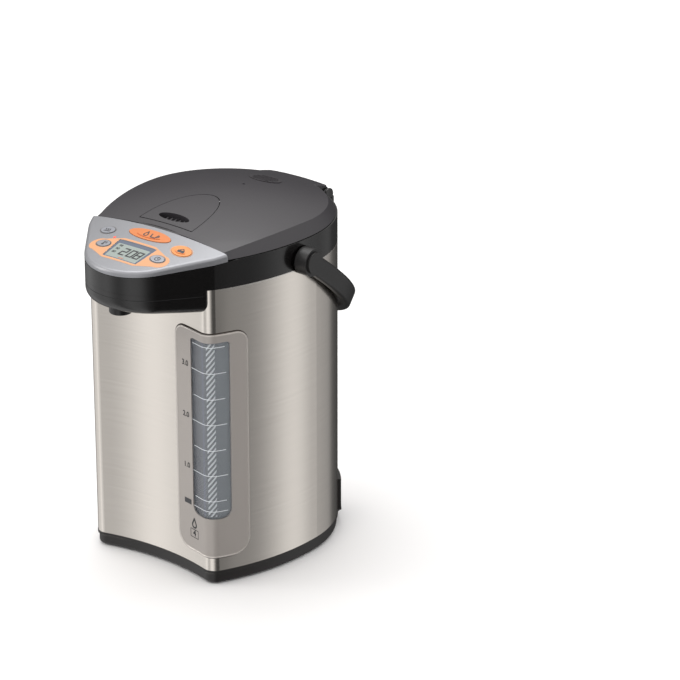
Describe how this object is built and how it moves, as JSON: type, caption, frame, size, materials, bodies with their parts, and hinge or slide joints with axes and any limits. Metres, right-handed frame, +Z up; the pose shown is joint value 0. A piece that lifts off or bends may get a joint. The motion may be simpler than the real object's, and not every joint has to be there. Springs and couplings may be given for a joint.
{
  "type": "electric thermo pot",
  "caption": "Electric thermo pot with a hinged domed lid, sloped key panel over a spout nose, level window, bail handle and a pumped, vacuum-walled container.",
  "frame": {"origin": "middle of the whole pot's box, on the surface that it stands on", "axes": "+Z up; the spout and key panel face -Y, the hinge and handle rest are at +Y, the level window is at the front corner on the +X side"},
  "size_m": [0.2158, 0.267, 0.3135],
  "materials": {
    "brushed_steel_body": "brushed along the waist, warm tint, clear coat",
    "vessel_steel": "satin",
    "seal_rubber": "matte",
    "base_plastic": "fine matte",
    "screw_steel": "bright",
    "frame_metallic": "champagne metallic paint",
    "clear_lens": "clear gloss",
    "backing_dark": "matte, printed level scale",
    "clear_tube": "clear",
    "collar_gloss": "gloss brown black",
    "nozzle_black": "matte",
    "inner_plastic": "matte natural",
    "panel_silver": "silver metallic paint",
    "key_silver": "silver metallic paint",
    "lcd_pane": "clear over pale green display",
    "lcd_frame": "matte",
    "board_green": "solder mask",
    "switch_black": "matte",
    "indicator_red": "clear red",
    "lid_grey": "satin grey brown",
    "vent_dark": "satin",
    "heater_steel": "plain",
    "magnet_dark": "plain",
    "pin_brass": "plain",
    "handle_black": "satin",
    "dispense_orange": "gloss",
    "unlock_orange": "gloss"
  },
  "bodies": {
    "pot": {"anti_spill_valve": "inner_plastic", "base_screws": "screw_steel", "base_trim": "base_plastic", "body_shell": "brushed_steel_body", "bottom_cover": "base_plastic", "control_board": "board_green", "control_panel": "panel_silver", "handle_pivots": "handle_black", "heater": "heater_steel", "heater_bracket": "heater_steel", "hinge_housing": "collar_gloss", "indicator_lens": "indicator_red", "inlet_pins": "pin_brass", "inlet_sleeve": "seal_rubber", "inner_vessel": "vessel_steel", "lcd_module": "lcd_frame", "lcd_window": "lcd_pane", "level_pipe": "clear_tube", "lid_hinge_pin": "screw_steel", "nose_cover": "collar_gloss", "outlet_elbow": "inner_plastic", "power_board": "board_green", "power_inlet": "base_plastic", "pump_cover": "inner_plastic", "pump_housing": "inner_plastic", "pump_motor": "heater_steel", "rubber_feet": "seal_rubber", "spout_nozzle": "nozzle_black", "spout_pipe": "inner_plastic", "tact_switches": "switch_black", "temperature_sensor": "heater_steel", "thermostat": "switch_black", "upper_collar": "collar_gloss", "vacuum_jacket": "vessel_steel", "vessel_rim_seal": "seal_rubber", "window_backing": "backing_dark", "window_frame": "frame_metallic", "window_lens": "clear_lens"},
    "lid": {"lid_top": "lid_grey", "lid_underside": "inner_plastic", "vent_cap": "vent_dark", "steam_duct": "inner_plastic", "lid_inner_plate": "vessel_steel", "lid_gasket": "seal_rubber", "lid_lever_pin": "screw_steel", "lid_lever_spring": "screw_steel"},
    "lid_lever": {"lid_lever": "lid_grey"},
    "lid_latch": {"lid_latch": "inner_plastic"},
    "lid_detach_lever": {"lid_detach_lever": "collar_gloss"},
    "handle": {"handle": "handle_black"},
    "impeller": {"impeller": "inner_plastic"},
    "pump_drive": {"drive_magnet": "magnet_dark", "motor_shaft": "screw_steel"},
    "dispense_button": {"dispense_button": "dispense_orange"},
    "unlock_button": {"unlock_button": "unlock_orange"},
    "reboil_button": {"reboil_button": "key_silver"},
    "temperature_button": {"temperature_button": "key_silver"},
    "timer_button": {"timer_button": "key_silver"}
  },
  "joints": [
    {"name": "lid_hinge", "type": "hinge", "parent": "pot", "child": "lid", "pos_m": [0, 0.11796, 0.289], "axis": [-1, 0, 0], "range_deg": [0, 80]},
    {"name": "lever_hinge", "type": "hinge", "parent": "lid", "child": "lid_lever", "pos_m": [0, -0.00104, 0.31103], "axis": [-1, 0, 0], "range_deg": [0, 25], "stiffness_Nm_per_rad": 0.03, "springref_deg": -11.46},
    {"name": "latch_slide", "type": "slide", "parent": "lid", "child": "lid_latch", "axis": [0, 1, 0], "range_m": [0, 0.0045]},
    {"name": "detach_slide", "type": "slide", "parent": "pot", "child": "lid_detach_lever", "axis": [0, -1, 0], "range_m": [0, 0.002], "stiffness_N_per_m": 300},
    {"name": "handle_hinge", "type": "hinge", "parent": "pot", "child": "handle", "pos_m": [0, 0.00696, 0.277], "axis": [1, 0, 0], "range_deg": [0, 128]},
    {"name": "drive_spin", "type": "hinge", "parent": "pot", "child": "pump_drive", "pos_m": [0.02, -0.02304, 0.02], "axis": [0, 0, 1], "continuous": true},
    {"name": "impeller_spin", "type": "hinge", "parent": "pot", "child": "impeller", "pos_m": [0.02, -0.02304, 0.032], "axis": [0, 0, 1], "continuous": true},
    {"name": "dispense_key", "type": "slide", "parent": "pot", "child": "dispense_button", "axis": [0, 0.2233, -0.9748], "range_m": [0, 0.0008], "stiffness_N_per_m": 400},
    {"name": "unlock_key", "type": "slide", "parent": "pot", "child": "unlock_button", "axis": [0, 0.2233, -0.9748], "range_m": [0, 0.0008], "stiffness_N_per_m": 400},
    {"name": "reboil_key", "type": "slide", "parent": "pot", "child": "reboil_button", "axis": [0, 0.2233, -0.9748], "range_m": [0, 0.0008], "stiffness_N_per_m": 400},
    {"name": "temperature_key", "type": "slide", "parent": "pot", "child": "temperature_button", "axis": [0, 0.2233, -0.9748], "range_m": [0, 0.0008], "stiffness_N_per_m": 400},
    {"name": "timer_key", "type": "slide", "parent": "pot", "child": "timer_button", "axis": [0, 0.2233, -0.9748], "range_m": [0, 0.0008], "stiffness_N_per_m": 400}
  ],
  "couplings": [
    {"joint": "latch_slide", "follows": "lever_hinge", "m_per_rad": 0.0103},
    {"joint": "impeller_spin", "follows": "drive_spin", "ratio": 1}
  ]
}
